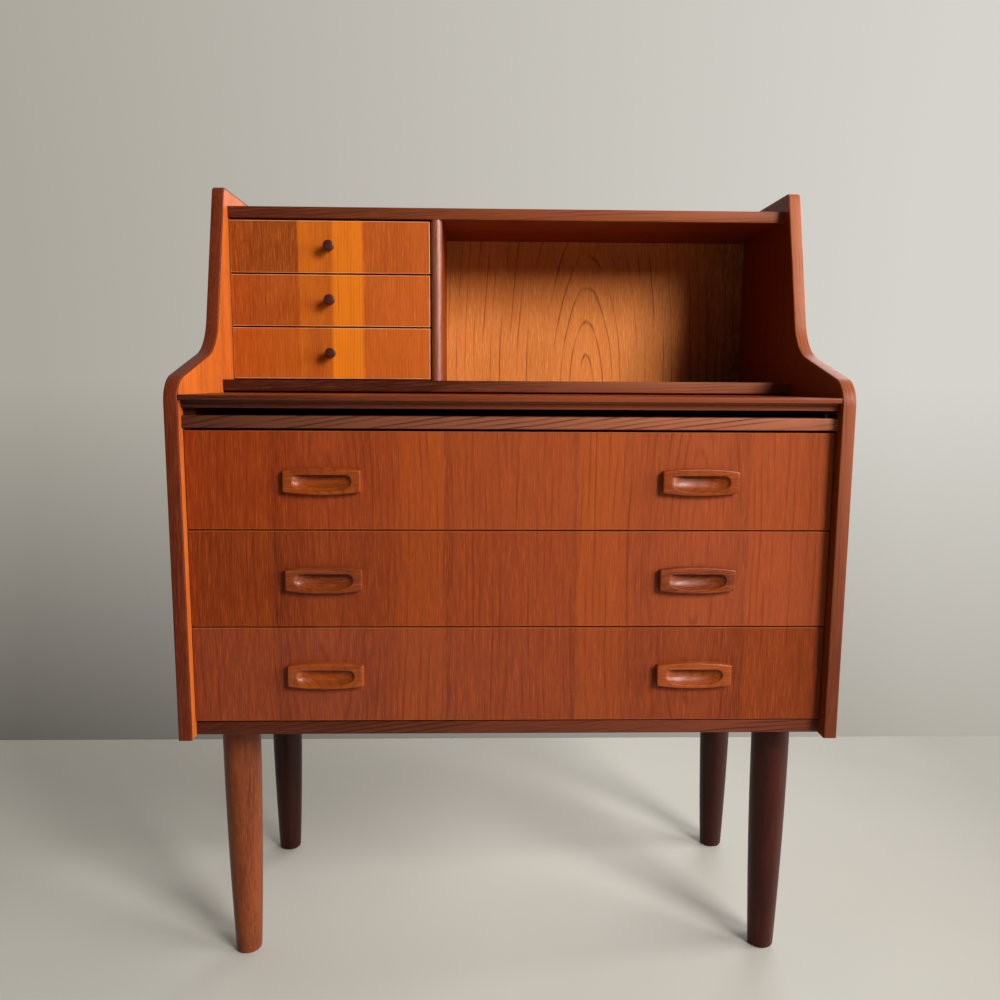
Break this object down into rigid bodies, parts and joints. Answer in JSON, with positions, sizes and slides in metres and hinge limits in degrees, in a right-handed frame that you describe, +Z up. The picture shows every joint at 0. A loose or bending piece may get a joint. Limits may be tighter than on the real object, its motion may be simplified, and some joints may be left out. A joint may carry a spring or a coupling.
{
  "type": "secretary desk",
  "caption": "Teak secretary desk: shaped sides, pull-out writing slide over wide drawers, a set-back top with small drawers and an open compartment, on round tapered legs.",
  "frame": {"origin": "on the floor, midway between the two sides and midway between their front and rear edges", "axes": "+Z up, the front faces -Y, +X to the right of someone standing in front of the desk"},
  "size_m": [0.85, 0.45, 1.08],
  "materials": {
    "solid_teak_edging": "oiled solid teak, dark with age",
    "teak_veneer_side": "oiled teak veneer, straight grain upright",
    "teak_veneer_board": "oiled teak veneer, grain along the board",
    "solid_teak_lip": "oiled solid teak, dark",
    "solid_teak_rail": "oiled solid teak, slanting grain",
    "teak_veneer_back": "oiled teak veneer, figured crown cut",
    "backing_board": "bare plywood",
    "solid_teak_leg": "oiled solid teak, turned",
    "steel_plate": "rolled steel plate",
    "steel_fastener": "zinc plated steel",
    "beech": "planed beech",
    "solid_teak_pull": "oiled solid teak, carved",
    "dark_turned_knob": "turned hardwood, dark oiled",
    "teak_veneer_wide_front": "oiled teak veneer, upright grain matched over the fronts",
    "teak_veneer_small_front": "oiled teak veneer, upright grain with a light band",
    "drawer_bottom_ply": "sanded plywood",
    "beech_drawer_wall": "planed beech, lacquered"
  },
  "bodies": {
    "carcass": {"side_left": "teak_veneer_side", "side_right": "teak_veneer_side", "side_edging_left": "solid_teak_edging", "side_edging_right": "solid_teak_edging", "top_board": "teak_veneer_board", "top_lip": "solid_teak_lip", "shelf_board": "teak_veneer_board", "shelf_lip": "solid_teak_lip", "divider": "teak_veneer_board", "divider_lip": "solid_teak_lip", "bottom_board": "teak_veneer_board", "bottom_lip": "solid_teak_lip", "front_rail": "solid_teak_rail", "upper_back": "teak_veneer_back", "lower_back": "backing_board", "slide_runners": "beech", "wide_drawer_runners": "beech", "small_drawer_runners": "beech", "leg_front_left": "solid_teak_leg", "leg_front_right": "solid_teak_leg", "leg_back_left": "solid_teak_leg", "leg_back_right": "solid_teak_leg", "leg_plates": "steel_plate", "leg_bolts": "steel_fastener", "dowels": "beech", "wood_screws": "steel_fastener"},
    "writing_slide": {"slide_board": "teak_veneer_board", "slide_lip": "solid_teak_lip", "slide_stops": "beech"},
    "wide_drawer_top": {"wide_top_front": "teak_veneer_wide_front", "wide_top_left": "beech_drawer_wall", "wide_top_right": "beech_drawer_wall", "wide_top_back": "beech_drawer_wall", "wide_top_bottom": "drawer_bottom_ply", "wide_top_pulls": "solid_teak_pull"},
    "wide_drawer_middle": {"wide_middle_front": "teak_veneer_wide_front", "wide_middle_left": "beech_drawer_wall", "wide_middle_right": "beech_drawer_wall", "wide_middle_back": "beech_drawer_wall", "wide_middle_bottom": "drawer_bottom_ply", "wide_middle_pulls": "solid_teak_pull"},
    "wide_drawer_low": {"wide_low_front": "teak_veneer_wide_front", "wide_low_left": "beech_drawer_wall", "wide_low_right": "beech_drawer_wall", "wide_low_back": "beech_drawer_wall", "wide_low_bottom": "drawer_bottom_ply", "wide_low_pulls": "solid_teak_pull"},
    "small_drawer_top": {"small_top_front": "teak_veneer_small_front", "small_top_box": "beech_drawer_wall", "small_top_bottom": "drawer_bottom_ply", "small_top_knob": "dark_turned_knob"},
    "small_drawer_middle": {"small_middle_front": "teak_veneer_small_front", "small_middle_box": "beech_drawer_wall", "small_middle_bottom": "drawer_bottom_ply", "small_middle_knob": "dark_turned_knob"},
    "small_drawer_low": {"small_low_front": "teak_veneer_small_front", "small_low_box": "beech_drawer_wall", "small_low_bottom": "drawer_bottom_ply", "small_low_knob": "dark_turned_knob"}
  },
  "joints": [
    {"name": "writing_slide_pull", "type": "slide", "parent": "carcass", "child": "writing_slide", "axis": [0, -1, 0], "range_m": [0, 0.28]},
    {"name": "wide_top_pull", "type": "slide", "parent": "carcass", "child": "wide_drawer_top", "axis": [0, -1, 0], "range_m": [0, 0.3]},
    {"name": "wide_middle_pull", "type": "slide", "parent": "carcass", "child": "wide_drawer_middle", "axis": [0, -1, 0], "range_m": [0, 0.3]},
    {"name": "wide_low_pull", "type": "slide", "parent": "carcass", "child": "wide_drawer_low", "axis": [0, -1, 0], "range_m": [0, 0.3]},
    {"name": "small_top_pull", "type": "slide", "parent": "carcass", "child": "small_drawer_top", "axis": [0, -1, 0], "range_m": [0, 0.12]},
    {"name": "small_middle_pull", "type": "slide", "parent": "carcass", "child": "small_drawer_middle", "axis": [0, -1, 0], "range_m": [0, 0.12]},
    {"name": "small_low_pull", "type": "slide", "parent": "carcass", "child": "small_drawer_low", "axis": [0, -1, 0], "range_m": [0, 0.12]}
  ]
}
